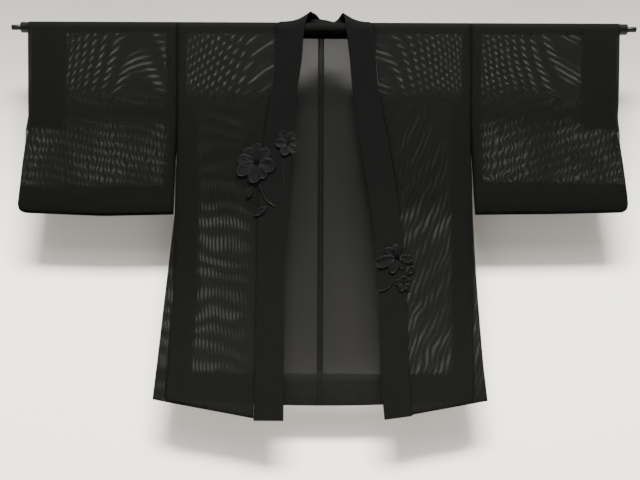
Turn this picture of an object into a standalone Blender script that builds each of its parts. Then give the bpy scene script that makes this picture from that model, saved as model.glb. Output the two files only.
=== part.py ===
"""A woman's sheer black summer haori, hung open on a straight display rod.

Frame: metres, +Z up, +X towards the wearer's left, and the fronts face -Y.
The origin lies on the rod's axis, halfway along the stretch that carries the cloth.
Left and right are the wearer's, so the right sleeve lies at -X.
"""

import math

import bmesh
import bpy
from mathutils import Vector

MM = 0.001
SHARP_ANGLE = math.radians(35)

# Cloth and rod, in millimetres
CLOTH_WALL = 1.2
COLLAR_WALL = 3.0
SEAM_GAP = 0.3
REST_GAP = 0.4
ROD_RADIUS = 12.3
ROD_PIN_RADIUS = 6.2
ROD_ENDS = (-692.0, 705.4)
ROD_PIN_ENDS = (-714.0, 727.0)
ROD_CHAMFER = 1.0
ROD_SIDES = 28

CLOTH_RADIUS = ROD_RADIUS + REST_GAP + CLOTH_WALL / 2
COLLAR_RADIUS = ROD_RADIUS + REST_GAP + COLLAR_WALL / 2
ARC_STEPS = 10

# Heights of the cut, in millimetres below the rod's axis
CUFF_END = -238.0
CUFF_CLOSING = 30.0
SLEEVE_LEVELS = [0.0, -60.0, -120.0, -180.0, CUFF_END, -290.0, -340.0, -385.0]
SLEEVE_FOOT_ROUNDING = 2.0
SLEEVE_SEAM_ROUNDING = 1.5
GUSSET_TOP = -320.0
NECKLINE = -21.0
HEM_BACK_MIDDLE = -873.7
HEM_BACK_SIDE = -857.0
HEM_BACK_HALF_WIDTH = 357.0
SIDE_HEM_LEVEL = -858.0
NECK_HEM_LEVEL = -900.0
GUSSET_FLAT = 1.6
GUSSET_FOLD_LIFT = 3.0

# Columns of the body's cloth, as shares of its width: side seam to collar, and collar to middle
BODY_ACROSS = [0.0, 0.3, 0.6, 0.85, 1.0]
BACK_MIDDLE_ACROSS = [0.34, 0.67, 1.0]

# Each half's own sizes, in millimetres out from the middle. The two halves hang a little
# differently, as cloth does.
#   side: height, side seam of front and back, fold of the gusset
#   neck: height, outer edge of the collar, inner edge of the collar, on the front
#   sleeve: height, inner edge, outer edge; sleeve_foot: distance out and height of the bottom
HALVES = {
    "right": {
        "sign": -1,
        "side": [
            (0, 330.0, 330.0),
            (-235, 330.0, 330.0),
            (-320, 331.0, 334.0),
            (-432, 333.0, 337.0),
            (-513, 335.6, 346.5),
            (-628, 338.5, 360.0),
            (-700, 346.0, 368.0),
            (-770, 351.0, 376.0),
            (-858, 357.0, 386.5),
        ],
        "neck": [
            (0, 101.8, 37.5),
            (-20, 104.3, 40.1),
            (-73, 108.0, 44.1),
            (-138, 113.1, 53.0),
            (-235, 127.5, 62.8),
            (-350, 138.5, 70.7),
            (-466, 145.0, 77.2),
            (-547, 146.5, 82.2),
            (-720, 147.5, 83.0),
            (-903.8, 152.4, 83.2),
        ],
        "sleeve": [
            (0, 330.3, 672.9),
            (-207, 330.3, 672.7),
            (-238, 331.5, 678.5),
            (-320, 336.5, 689.6),
            (-408, 339.5, 699.5),
            (-436, 340.0, 700.5),
        ],
        "sleeve_foot": [(337.0, -431.0), (503.0, -435.0), (700.0, -428.0)],
        "sleeve_corner": 20.0,
        "neck_back": 88.0,
        "hem_front_side": -861.0,
        "hem_front_neck": -898.5,
        "hem_collar_outer": -903.8,
        "hem_collar_inner": -903.8,
    },
    "left": {
        "sign": 1,
        "side": [
            (0, 344.0, 344.0),
            (-235, 344.3, 344.3),
            (-320, 345.6, 348.5),
            (-432, 347.5, 351.5),
            (-540, 350.2, 358.0),
            (-628, 351.4, 364.8),
            (-690, 352.3, 370.0),
            (-770, 353.3, 377.0),
            (-858, 355.0, 387.8),
        ],
        "neck": [
            (0, 120.5, 57.0),
            (-20, 122.7, 59.2),
            (-70, 126.0, 65.2),
            (-137, 131.5, 71.6),
            (-188, 141.0, 78.3),
            (-273, 156.5, 91.3),
            (-375, 174.0, 108.8),
            (-465, 187.0, 121.6),
            (-571, 197.5, 132.9),
            (-700, 201.0, 136.1),
            (-800, 204.5, 139.7),
            (-900.4, 213.0, 148.4),
        ],
        "sleeve": [
            (0, 344.6, 685.4),
            (-170, 344.6, 684.4),
            (-205, 344.7, 682.6),
            (-253, 347.2, 689.4),
            (-321, 351.0, 700.2),
            (-382, 354.6, 708.6),
            (-429, 357.0, 713.0),
        ],
        "sleeve_foot": [(357.0, -429.0), (530.0, -427.0), (713.0, -422.5)],
        "sleeve_corner": 20.0,
        "neck_back": 102.0,
        "hem_front_side": -862.0,
        "hem_front_neck": -888.6,
        "hem_collar_outer": -891.6,
        "hem_collar_inner": -900.4,
    },
}

# Columns of a sleeve: shares of its width, then angles round the lower outer corner
SLEEVE_ACROSS = [0.0, 0.2, 0.4, 0.6, 0.8]
SLEEVE_CORNER_ANGLES = [0, 30, 60, 90]

# Sleeve depth: the front and the back hang a little apart below the rod and meet in the
# bottom seam and, below the cuff, in the outer seam
SLEEVE_BOTTOM_HALF_DEPTH = 4.0
SLEEVE_EDGE_HALF_DEPTH = 2.6
SLEEVE_NARROWING = 1.15

# The collar round the neck, wearer's right to left. Over the rod its seam follows the neck edge
# of the body: which half, and the share of the way over from front to back. Behind the neck the
# seam lies at x along the top of the back. Then a point that its width bends towards, and its
# folded upper edge, as x, y and z. It stands up in two peaks and falls back between them.
COLLAR_ROUND_NECK = [
    # half, share or x;  bend;                edge
    ("right", 0.0, (-69.5, -14.2, 0.0), (-37.5, -14.2, 0.0)),
    ("right", 0.25, (-66.0, -11.0, 11.0), (-35.5, -13.6, 11.0)),
    ("right", 0.50, (-54.0, -3.0, 15.0), (-30.5, -9.0, 27.0)),
    ("right", 0.75, (-48.0, 6.0, 20.0), (-24.5, -1.0, 38.5)),
    ("right", 1.00, (-42.0, 15.0, 29.0), (-20.0, 9.0, 38.5)),
    ("back", -86.0, (-32.0, 17.0, 36.0), (-11.0, 18.0, 35.5)),
    ("back", -52.0, (-17.0, 18.0, 48.0), (-4.0, 30.0, 28.0)),
    ("back", -22.0, (-2.0, 19.0, 50.0), (6.0, 42.0, 17.0)),
    ("back", 6.0, (10.0, 19.0, 50.0), (15.0, 46.0, 13.0)),
    ("back", 34.0, (25.0, 19.0, 43.0), (25.0, 44.0, 11.0)),
    ("back", 66.0, (36.0, 18.0, 36.0), (34.0, 34.0, 22.0)),
    ("back", 100.0, (52.0, 16.0, 31.0), (42.0, 22.0, 31.0)),
    ("left", 1.00, (62.0, 14.0, 26.0), (47.0, 9.0, 36.0)),
    ("left", 0.75, (70.0, 6.0, 23.0), (51.0, -1.0, 35.0)),
    ("left", 0.50, (78.0, -3.0, 15.2), (53.5, -9.0, 25.0)),
    ("left", 0.25, (86.0, -11.0, 11.0), (55.5, -13.6, 11.0)),
    ("left", 0.0, (88.5, -14.2, 0.0), (57.0, -14.2, 0.0)),
]
COLLAR_SEAM_CLEARANCE = 1.2
COLLAR_ACROSS = 5

# Sewn-on flowers: middle x and z, petals, reach, depth of the gaps between the petals, turn
TRIM_WALL = 1.8
TRIM_RIM_SHARE = 0.6
PETAL_POINTS = 6
PETAL_ROUNDNESS = 0.7
FLOWERS = {
    "flower_large_right": (-147.0, -311.0, 8, 47.0, 0.42, 0.2),
    "flower_small_right": (-73.0, -270.0, 6, 31.0, 0.40, 0.1),
    "flower_large_left": (176.0, -528.0, 7, 36.0, 0.45, 0.3),
    "flower_small_left": (192.0, -588.0, 5, 20.0, 0.38, 0.5),
}
# Stems, as points x and z that a smooth strip passes through
STEM_WIDTH = 3.2
STEM_DEPTH_SHARE = 0.8
STEM_STEPS = 4
STEMS = {
    "stem_large_right": [(-141, -362), (-133, -384), (-120, -402), (-104, -412)],
    "stem_small_right": [(-80, -305), (-86, -328), (-84, -352), (-78, -378)],
    "stem_left": [(172, -568), (165, -586), (153, -600), (134, -606)],
}
# Leaves: middle x and z, length, width, turn
LEAF_POINTS = 14
LEAF_POINTEDNESS = 0.4
LEAVES = {
    "leaf_upper_right": (-163.0, -381.0, 30.0, 11.0, 1.1),
    "leaf_lower_right": (-139.0, -424.0, 34.0, 12.0, 0.6),
    "leaf_left": (207.0, -557.0, 22.0, 9.0, 0.9),
}

LOOKS = {
    "gauze": ((0.012, 0.013, 0.012), 0.75, 0.0),
    "collar": ((0.010, 0.011, 0.010), 0.7, 0.0),
    "applique": ((0.008, 0.009, 0.008), 0.5, 0.0),
    "lacquer": ((0.006, 0.006, 0.007), 0.25, 0.0),
}


def clear_scene():
    for thing in list(bpy.data.objects):
        bpy.data.objects.remove(thing, do_unlink=True)


def material_for(name, look):
    colour, roughness, metallic = LOOKS[look]
    material = bpy.data.materials.new(name + "_finish")
    material.use_nodes = True
    shader = material.node_tree.nodes["Principled BSDF"]
    shader.inputs["Base Color"].default_value = (*colour, 1.0)
    shader.inputs["Roughness"].default_value = roughness
    shader.inputs["Metallic"].default_value = metallic
    return material


def object_from(bm, name, look, smooth=True):
    mesh = bpy.data.meshes.new(name)
    bm.to_mesh(mesh)
    bm.free()
    if smooth:
        mesh.shade_smooth()
        mesh.set_sharp_from_angle(angle=SHARP_ANGLE)
    thing = bpy.data.objects.new(name, mesh)
    thing.data.materials.append(material_for(name, look))
    bpy.context.collection.objects.link(thing)
    return thing


def give_wall(thing, thickness):
    """Turn a thin sheet into a wall, half to each side of it."""
    wall = thing.modifiers.new("wall", "SOLIDIFY")
    wall.thickness = thickness * MM
    wall.offset = 0.0
    wall.use_even_offset = True
    wall.use_rim = True
    return thing


def between(table, height, column):
    """Read a table of heights (from high to low) at a height, straight between its rows."""
    if height >= table[0][0]:
        return table[0][column]
    for upper, lower in zip(table, table[1:]):
        if height >= lower[0]:
            share = (upper[0] - height) / (upper[0] - lower[0])
            return upper[column] + share * (lower[column] - upper[column])
    return table[-1][column]


def mix(start, end, share):
    return start + (end - start) * share


def hem_of_back(x):
    return mix(HEM_BACK_MIDDLE, HEM_BACK_SIDE, (x / HEM_BACK_HALF_WIDTH) ** 2)


def hem_of_front(half, x):
    """The front hem drops in a straight line from the side seam to the collar."""
    side = between(half["side"], SIDE_HEM_LEVEL, 1)
    neck = between(half["neck"], NECK_HEM_LEVEL, 1)
    return mix(half["hem_front_side"], half["hem_front_neck"], (side - x) / (side - neck))


def join_grid(bm, rows):
    """Join rows of points into faces. None marks a place outside the cloth."""
    grid = [[point and bm.verts.new(Vector(point) * MM) for point in row] for row in rows]
    for row, next_row in zip(grid, grid[1:]):
        for column in range(len(row) - 1):
            corners = [row[column], row[column + 1], next_row[column + 1], next_row[column]]
            if all(corners):
                bm.faces.new(corners)
    return grid


def body_panel(side_name):
    """One half of the body: a single length of cloth from the front hem over the rod and down
    to the back hem, cut away at the neck."""
    half = HALVES[side_name]
    sign = half["sign"]
    side_levels = {row[0] for row in half["side"][:-1]}
    front_levels = sorted(side_levels | {row[0] for row in half["neck"][:-1]}, reverse=True)
    back_levels = sorted(side_levels | {NECKLINE - SEAM_GAP}, reverse=True)

    def row_points(y, z_of, edge, height, whole):
        side = between(half["side"], height, 1)
        row = []
        for share in BODY_ACROSS:
            x = mix(side, edge, share)
            row.append((sign * x, y, z_of(x)))
        for share in BACK_MIDDLE_ACROSS:
            x = mix(edge, SEAM_GAP / 2, share)
            row.append((sign * x, y, z_of(x)) if whole else None)
        return row

    rows = [row_points(-CLOTH_RADIUS, lambda x: hem_of_front(half, x),
                       between(half["neck"], NECK_HEM_LEVEL, 1), SIDE_HEM_LEVEL, False)]
    for level in reversed(front_levels):
        rows.append(row_points(-CLOTH_RADIUS, lambda x, z=level: z, between(half["neck"], level, 1),
                               level, False))
    for step in range(1, ARC_STEPS):
        share = step / ARC_STEPS
        angle = math.pi * share
        edge = neck_edge(half, share)
        z = CLOTH_RADIUS * math.sin(angle)
        rows.append(row_points(-CLOTH_RADIUS * math.cos(angle), lambda x, z=z: z, edge, 0, False))
    for level in back_levels:
        rows.append(row_points(CLOTH_RADIUS, lambda x, z=level: z, half["neck_back"], level,
                               level < NECKLINE))
    rows.append(row_points(CLOTH_RADIUS, hem_of_back, half["neck_back"], SIDE_HEM_LEVEL, True))

    bm = bmesh.new()
    join_grid(bm, rows)
    bmesh.ops.recalc_face_normals(bm, faces=bm.faces)
    return give_wall(object_from(bm, "body_" + side_name, "gauze"), CLOTH_WALL)


def sleeve(side_name):
    """A sleeve: one length of cloth folded over the rod, seamed along its bottom and, below the
    cuff, along its outer edge; open at the cuff and, below the join, towards the body."""
    half = HALVES[side_name]
    sign = half["sign"]
    corner = half["sleeve_corner"]
    foot = half["sleeve_foot"]
    bottom = min(z for x, z in foot)
    levels = SLEEVE_LEVELS
    plain = SLEEVE_ACROSS
    corner_angles = [math.radians(angle) for angle in SLEEVE_CORNER_ANGLES]

    def half_depth(height, rim):
        """The gap narrows downwards, and below the cuff towards the outer seam (rim 1)."""
        if height >= 0:
            return CLOTH_RADIUS
        fall = min(1.0, height / bottom)
        depth = mix(CLOTH_RADIUS, SLEEVE_BOTTOM_HALF_DEPTH, fall ** SLEEVE_NARROWING)
        closing = min(1.0, max(0.0, (CUFF_END - height) / CUFF_CLOSING)) * rim
        return mix(depth, min(depth, SLEEVE_EDGE_HALF_DEPTH), closing)

    def column_x(column, height):
        inner = between(half["sleeve"], height, 1)
        outer = between(half["sleeve"], height, 2)
        if column < len(plain):
            return mix(inner, outer - corner, plain[column])
        return outer - corner + corner * math.sin(corner_angles[column - len(plain)])

    def foot_height(x):
        for (start, z_start), (end, z_end) in zip(foot, foot[1:]):
            if x <= end:
                return mix(z_start, z_end, (x - start) / (end - start))
        return foot[-1][1]

    def column_bottom(column):
        height = foot_height(column_x(column, bottom))
        if column < len(plain):
            return height
        return height + corner - corner * math.cos(corner_angles[column - len(plain)])

    columns = len(plain) + len(corner_angles)

    def row_at(level, facing):
        row = []
        for column in range(columns):
            z = level
            if level is None:
                z = column_bottom(column)
            rim = max(0.0, (column - len(plain) + 1) / len(corner_angles))
            row.append((sign * column_x(column, z), facing * half_depth(z, rim), z))
        return row

    rows = [row_at(None, -1)]
    for level in reversed(levels):
        rows.append(row_at(level, -1))
    for step in range(1, ARC_STEPS):
        angle = math.pi * step / ARC_STEPS
        y = -CLOTH_RADIUS * math.cos(angle)
        z = CLOTH_RADIUS * math.sin(angle)
        rows.append([(sign * column_x(column, 0), y, z) for column in range(columns)])
    for level in levels:
        rows.append(row_at(level, 1))
    rows.append(row_at(None, 1))

    bm = bmesh.new()
    grid = join_grid(bm, rows)
    # Bottom seam, rounded under
    front_foot = grid[0]
    back_foot = grid[-1]
    middle = []
    under = Vector((0, 0, -SLEEVE_FOOT_ROUNDING * MM))
    for front, back in zip(front_foot, back_foot):
        middle.append(bm.verts.new((front.co + back.co) / 2 + under))
    for column in range(columns - 1):
        bm.faces.new([front_foot[column], front_foot[column + 1], middle[column + 1], middle[column]])
        bm.faces.new([middle[column], middle[column + 1], back_foot[column + 1], back_foot[column]])
    # Outer seam, from the cuff's end down to the corner
    closed_levels = len(levels) - levels.index(CUFF_END)
    front_rim = [row[-1] for row in grid[:closed_levels + 1]]
    back_rim = [row[-1] for row in reversed(grid[-closed_levels - 1:])]
    rim_middle = [middle[-1]]
    outwards = Vector((sign * SLEEVE_SEAM_ROUNDING * MM, 0, 0))
    for front, back in zip(front_rim[1:], back_rim[1:]):
        rim_middle.append(bm.verts.new((front.co + back.co) / 2 + outwards))
    for step in range(len(front_rim) - 1):
        bm.faces.new([front_rim[step], front_rim[step + 1], rim_middle[step + 1], rim_middle[step]])
        bm.faces.new([rim_middle[step], rim_middle[step + 1], back_rim[step + 1], back_rim[step]])
    bmesh.ops.recalc_face_normals(bm, faces=bm.faces)
    return give_wall(object_from(bm, "sleeve_" + side_name, "gauze"), CLOTH_WALL)


def gusset(side_name):
    """The side gusset: a long wedge of cloth between front and back, folded outwards."""
    half = HALVES[side_name]
    sign = half["sign"]
    levels = [row[0] for row in half["side"][:-1] if row[0] <= GUSSET_TOP]

    def section(height, z_front, z_fold, z_back):
        seam = between(half["side"], height, 1) + SEAM_GAP
        fold = between(half["side"], height, 2)
        return [
            (sign * seam, -CLOTH_RADIUS, z_front),
            (sign * (seam + GUSSET_FLAT), -CLOTH_RADIUS, z_front),
            (sign * fold, 0.0, z_fold),
            (sign * (seam + GUSSET_FLAT), CLOTH_RADIUS, z_back),
            (sign * seam, CLOTH_RADIUS, z_back),
        ]

    rows = [section(level, level, level, level) for level in levels]
    fold_end = (half["hem_front_side"] + HEM_BACK_SIDE) / 2 + GUSSET_FOLD_LIFT
    rows.append(section(SIDE_HEM_LEVEL, half["hem_front_side"], fold_end, HEM_BACK_SIDE))
    bm = bmesh.new()
    join_grid(bm, rows)
    bmesh.ops.recalc_face_normals(bm, faces=bm.faces)
    return give_wall(object_from(bm, "gusset_" + side_name, "gauze"), CLOTH_WALL)


def collar_front_sections(half):
    """The collar's straight stretch on one front, from its lower end up to the rod."""
    sign = half["sign"]
    sections = []
    levels = [row[0] for row in half["neck"][1:]][::-1]
    for index, level in enumerate(levels):
        outer = between(half["neck"], level, 1) - SEAM_GAP
        inner = between(half["neck"], level, 2)
        z_outer = level
        z_inner = level
        if index == 0:
            z_outer = half["hem_collar_outer"]
            z_inner = half["hem_collar_inner"]
        seam = Vector((sign * outer, -COLLAR_RADIUS, z_outer))
        edge = Vector((sign * inner, -COLLAR_RADIUS, z_inner))
        sections.append([seam.lerp(edge, step / (COLLAR_ACROSS - 1)) for step in range(COLLAR_ACROSS)])
    return sections


def neck_edge(half, share):
    """The body's neck edge, from the front (0) over the rod to the back (1)."""
    return mix(between(half["neck"], 0, 1), half["neck_back"], share)


def collar_seam_point(place, where):
    if place == "back":
        return Vector((where, COLLAR_RADIUS, NECKLINE + SEAM_GAP))
    half = HALVES[place]
    angle = math.pi * where
    return Vector((half["sign"] * (neck_edge(half, where) - COLLAR_SEAM_CLEARANCE),
                   -COLLAR_RADIUS * math.cos(angle), COLLAR_RADIUS * math.sin(angle)))


def collar_round_neck():
    """The table's sections, with one more halfway between two that share a stretch of seam."""
    sections = []
    for row, following in zip(COLLAR_ROUND_NECK, COLLAR_ROUND_NECK[1:] + [None]):
        place, where, bend, edge = row
        bend, edge = Vector(bend), Vector(edge)
        sections.append((collar_seam_point(place, where), bend, edge))
        if following and following[0] == place:
            sections.append((collar_seam_point(place, (where + following[1]) / 2),
                             bend.lerp(Vector(following[2]), 0.5), edge.lerp(Vector(following[3]), 0.5)))
    return sections


def collar():
    """The collar band, folded double: up one front, round the neck and down the other front."""
    sections = collar_front_sections(HALVES["right"])
    for seam, bend, edge in collar_round_neck():
        points = []
        for step in range(COLLAR_ACROSS):
            share = step / (COLLAR_ACROSS - 1)
            points.append(seam.lerp(bend, share).lerp(bend.lerp(edge, share), share))
        sections.append(points)
    sections.extend(reversed(collar_front_sections(HALVES["left"])))
    bm = bmesh.new()
    join_grid(bm, [[tuple(point) for point in section] for section in sections])
    bmesh.ops.recalc_face_normals(bm, faces=bm.faces)
    return give_wall(object_from(bm, "collar", "collar"), COLLAR_WALL)


def rod():
    """A round rod with a thinner pin at each end."""
    rod_piece("rod_tube", ROD_ENDS[0], ROD_ENDS[1], ROD_RADIUS)
    rod_piece("rod_pin_right", ROD_PIN_ENDS[0], ROD_ENDS[0] - SEAM_GAP, ROD_PIN_RADIUS)
    rod_piece("rod_pin_left", ROD_ENDS[1] + SEAM_GAP, ROD_PIN_ENDS[1], ROD_PIN_RADIUS)


def rod_piece(name, start, end, radius):
    bm = bmesh.new()
    length = (end - start) * MM
    bmesh.ops.create_cone(bm, cap_ends=True, segments=ROD_SIDES, radius1=radius * MM,
                          radius2=radius * MM, depth=length)
    rims = [edge for edge in bm.edges if abs(edge.verts[0].co.z - edge.verts[1].co.z) < 1e-7]
    bmesh.ops.bevel(bm, geom=rims, offset=ROD_CHAMFER * MM, segments=1, affect="EDGES", profile=0.5,
                    material=-1)
    thing = object_from(bm, name, "lacquer")
    thing.rotation_euler = (0.0, math.pi / 2, 0.0)
    thing.location = ((start + end) / 2 * MM, 0.0, 0.0)
    return thing


# Trim lies just in front of the collar, clear of it and of the front panels
TRIM_BACK = -(COLLAR_RADIUS + COLLAR_WALL / 2 + SEAM_GAP)


def plate(name, outline, wall):
    """A flat plate with the given outline (x, z in millimetres) in front of the cloth, a little
    thicker in the middle."""
    bm = bmesh.new()
    middle = Vector((sum(x for x, z in outline), 0, sum(z for x, z in outline))) / len(outline)
    rim = {}
    rim_face = TRIM_BACK - wall * TRIM_RIM_SHARE
    for y in (TRIM_BACK, rim_face):
        rim[y] = [bm.verts.new(Vector((x, y, z)) * MM) for x, z in outline]
    heart = {
        TRIM_BACK: bm.verts.new(Vector((middle.x, TRIM_BACK, middle.z)) * MM),
        rim_face: bm.verts.new(Vector((middle.x, TRIM_BACK - wall, middle.z)) * MM),
    }
    back, face = rim.values()
    for index in range(len(outline)):
        following = (index + 1) % len(outline)
        bm.faces.new([back[index], back[following], face[following], face[index]])
        for y, ring in rim.items():
            bm.faces.new([ring[index], ring[following], heart[y]])
    bmesh.ops.recalc_face_normals(bm, faces=bm.faces)
    return object_from(bm, name, "applique", smooth=False)


def flower(name):
    x, z, petals, reach, gap, turn = FLOWERS[name]
    outline = []
    steps = petals * PETAL_POINTS
    for step in range(steps):
        angle = 2 * math.pi * step / steps
        lobe = abs(math.cos(petals * angle / 2)) ** PETAL_ROUNDNESS
        radius = reach * (1 - gap + gap * lobe)
        outline.append((x + radius * math.cos(angle + turn), z + radius * math.sin(angle + turn)))
    return plate(name, outline, TRIM_WALL)


def leaf(name):
    x, z, length, width, turn = LEAVES[name]
    outline = []
    for step in range(LEAF_POINTS):
        angle = 2 * math.pi * step / LEAF_POINTS
        along = math.cos(angle) * length / 2
        across = math.sin(angle) * abs(math.sin(angle)) ** LEAF_POINTEDNESS * width / 2
        outline.append((x + along * math.cos(turn) - across * math.sin(turn),
                        z + along * math.sin(turn) + across * math.cos(turn)))
    return plate(name, outline, TRIM_WALL)


def stem(name):
    """A narrow strip through the stem's points, bent smoothly."""
    points = [Vector((x, 0, z)) for x, z in STEMS[name]]
    padded = [2 * points[0] - points[1]] + points + [2 * points[-1] - points[-2]]
    path = []
    for before, start, end, after in zip(padded, padded[1:], padded[2:], padded[3:]):
        for step in range(STEM_STEPS):
            t = step / STEM_STEPS
            path.append(0.5 * (2 * start + (end - before) * t
                               + (2 * before - 5 * start + 4 * end - after) * t ** 2
                               + (3 * start - before - 3 * end + after) * t ** 3))
    path.append(points[-1])
    bm = bmesh.new()
    rings = []
    for index, point in enumerate(path):
        ahead = path[min(index + 1, len(path) - 1)] - path[max(index - 1, 0)]
        side = Vector((-ahead.z, 0, ahead.x)).normalized() * STEM_WIDTH / 2
        ring = []
        for across, depth in ((-1, 0), (1, 0), (1, 1), (-1, 1)):
            y = TRIM_BACK - depth * TRIM_WALL * STEM_DEPTH_SHARE
            ring.append(bm.verts.new((point + side * across + Vector((0, y, 0))) * MM))
        rings.append(ring)
    for ring, following in zip(rings, rings[1:]):
        for corner in range(4):
            after = (corner + 1) % 4
            bm.faces.new([ring[corner], ring[after], following[after], following[corner]])
    bm.faces.new(rings[0])
    bm.faces.new(rings[-1])
    bmesh.ops.recalc_face_normals(bm, faces=bm.faces)
    return object_from(bm, name, "applique", smooth=False)


def main():
    clear_scene()
    rod()
    for side_name in HALVES:
        body_panel(side_name)
        sleeve(side_name)
        gusset(side_name)
    collar()
    for name in FLOWERS:
        flower(name)
    for name in LEAVES:
        leaf(name)
    for name in STEMS:
        stem(name)


main()
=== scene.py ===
import math

import bmesh
import bpy
from mathutils import Matrix, Vector


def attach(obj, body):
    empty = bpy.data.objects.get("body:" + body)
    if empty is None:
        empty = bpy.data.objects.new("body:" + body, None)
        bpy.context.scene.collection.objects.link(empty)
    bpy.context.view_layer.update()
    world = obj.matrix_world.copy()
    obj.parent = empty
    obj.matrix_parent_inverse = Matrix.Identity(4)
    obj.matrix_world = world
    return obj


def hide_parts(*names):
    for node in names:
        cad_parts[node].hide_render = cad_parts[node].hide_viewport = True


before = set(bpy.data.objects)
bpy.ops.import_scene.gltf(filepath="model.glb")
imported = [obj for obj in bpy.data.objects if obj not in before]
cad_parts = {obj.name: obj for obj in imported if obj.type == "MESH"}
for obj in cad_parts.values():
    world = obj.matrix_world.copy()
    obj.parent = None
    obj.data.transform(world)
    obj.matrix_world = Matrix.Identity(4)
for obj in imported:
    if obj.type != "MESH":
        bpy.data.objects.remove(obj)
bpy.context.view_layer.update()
mm = 0.001  # the sizes below are in millimetres

print("frame loaded:", len(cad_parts), "nodes")


# small helpers

def mix(start, end, share):
    return start + (end - start) * share


def ease(low, high, value):  # 0 at low, 1 at high, smooth between, either way round
    share = min(1.0, max(0.0, (value - low) / (high - low)))
    return share * share * (3 - 2 * share)


def between(table, height, column):  # reads a table of falling heights, straight between its rows
    if height >= table[0][0]:
        return table[0][column]
    for upper, lower in zip(table, table[1:]):
        if height >= lower[0]:
            return mix(upper[column], lower[column], (upper[0] - height) / (upper[0] - lower[0]))
    return table[-1][column]


def shares(length, cell):  # 0 to 1 in even steps of about one cell
    count = max(1, round(abs(length) / cell))
    return [step / count for step in range(count + 1)]


def turns(pitch):  # radians a metre, for what repeats at a pitch in millimetres
    return 2 * math.pi / (pitch * mm)


def creaseDepth(creases, x, z):  # soft ridges (+) and troughs (-), each along its own line
    total = 0.0
    for x1, z1, x2, z2, width, height in creases:
        run = Vector((x2 - x1, z2 - z1))
        offset = Vector((x - x1, z - z1))
        share = offset.dot(run) / run.length_squared
        away = (offset - run * share).length
        total += height * ease(-0.15, 0.3, share) * ease(1.15, 0.7, share) * math.exp(-(away / width) ** 2)
    return total


# materials

class Wire:  # an output socket that takes part in sums
    def __init__(self, paint, node, out=0):
        self.paint = paint
        self.node = node
        self.socket = node.outputs[out] if node.outputs else None

    def out(self, name):
        return Wire(self.paint, self.node, name)

    def __add__(self, other):
        return self.paint.maths("ADD", self, other)

    def __sub__(self, other):
        return self.paint.maths("SUBTRACT", self, other)

    def __rsub__(self, other):
        return self.paint.maths("SUBTRACT", other, self)

    def __mul__(self, other):
        return self.paint.maths("MULTIPLY", self, other)

    def __pow__(self, other):
        return self.paint.maths("POWER", self, other)

    __radd__ = __add__
    __rmul__ = __mul__


class Paint:  # one material and its nodes
    def __init__(self, name):
        self.material = bpy.data.materials.new(name)
        self.material.use_nodes = True
        self.tree = self.material.node_tree
        self.tree.nodes.clear()

    def node(self, kind, settings=None, sockets=None, out=0):
        made = self.tree.nodes.new("ShaderNode" + kind)
        for name, value in (settings or {}).items():
            if name == "stops":
                self.setStops(made.color_ramp, value)
            else:
                setattr(made, name, value)
        for name, value in (sockets or {}).items():
            if isinstance(value, Wire):
                self.tree.links.new(value.socket, made.inputs[name])
            else:
                made.inputs[name].default_value = value
        return Wire(self, made, out)

    def setStops(self, ramp, stops):
        while len(ramp.elements) < len(stops):
            ramp.elements.new(1.0)
        for element, (place, colour) in zip(ramp.elements, stops):
            element.position = place
            element.color = (*colour, 1.0)

    def maths(self, operation, first, second=0.0):
        return self.node("Math", {"operation": operation}, {0: first, 1: second})

    def sine(self, angle):  # 0 to 1
        return self.maths("SINE", angle) * 0.5 + 0.5

    def between(self, value, low, high):  # smooth 0 to 1 from low to high
        sockets = {"Value": value, "From Min": low, "From Max": high}
        return self.node("MapRange", {"interpolation_type": "SMOOTHSTEP"}, sockets)

    def blend(self, share, first, second):  # colours
        return self.node("Mix", {"data_type": "RGBA"}, {0: share, 6: first, 7: second}, out=2)

    def noise(self, place, scale, detail=2.0, seed=0.0):
        sockets = {"Vector": place, "W": seed, "Scale": scale, "Detail": detail}
        return self.node("TexNoise", {"noise_dimensions": "4D"}, sockets)

    def place(self):
        return self.node("TexCoord").out("Object")

    def principled(self, sockets):
        return self.node("BsdfPrincipled", None, sockets)

    def axes(self, place):
        return self.node("SeparateXYZ", None, {"Vector": place})

    def bump(self, strength, distance, height):
        return self.node("Bump", None, {"Strength": strength, "Distance": distance, "Height": height})

    def finish(self, shader):
        self.node("OutputMaterial", None, {"Surface": shader})
        return self.material


gauzeLook = {
    "thread": (0.0029, 0.0032, 0.0029, 1.0),
    # painted light: a lighter thread colour that the cloth takes on towards the bottom, also the far end of
    # its random mottle
    "faded": (0.0061, 0.0065, 0.0058, 1.0),
    "glint": (0.021, 0.0216, 0.02, 1.0),  # painted glint: a lighter base colour on the low streaks, standing in for light where the threads of two layers line up
    "through": 0.088,  # light that passes one layer
    "throughLines": 0.1,  # share of the low lines that light passes
    "throughLeast": 0.002,
    "paintedLightOver": (-0.3, -0.9),
    "driftScale": 9.0,
    "warpPitch": 0.9,
    "weftPitch": 1.2,
    "roughness": 0.7,
}


def weaveHeight(paint, cut, look):  # paired warps crossed by single wefts
    spot = paint.axes(cut)
    warp = paint.sine(spot.out("X") * turns(look["warpPitch"]))
    weft = paint.sine(spot.out("Y") * turns(look["weftPitch"]))
    return warp * 0.6 + weft * 0.5


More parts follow.
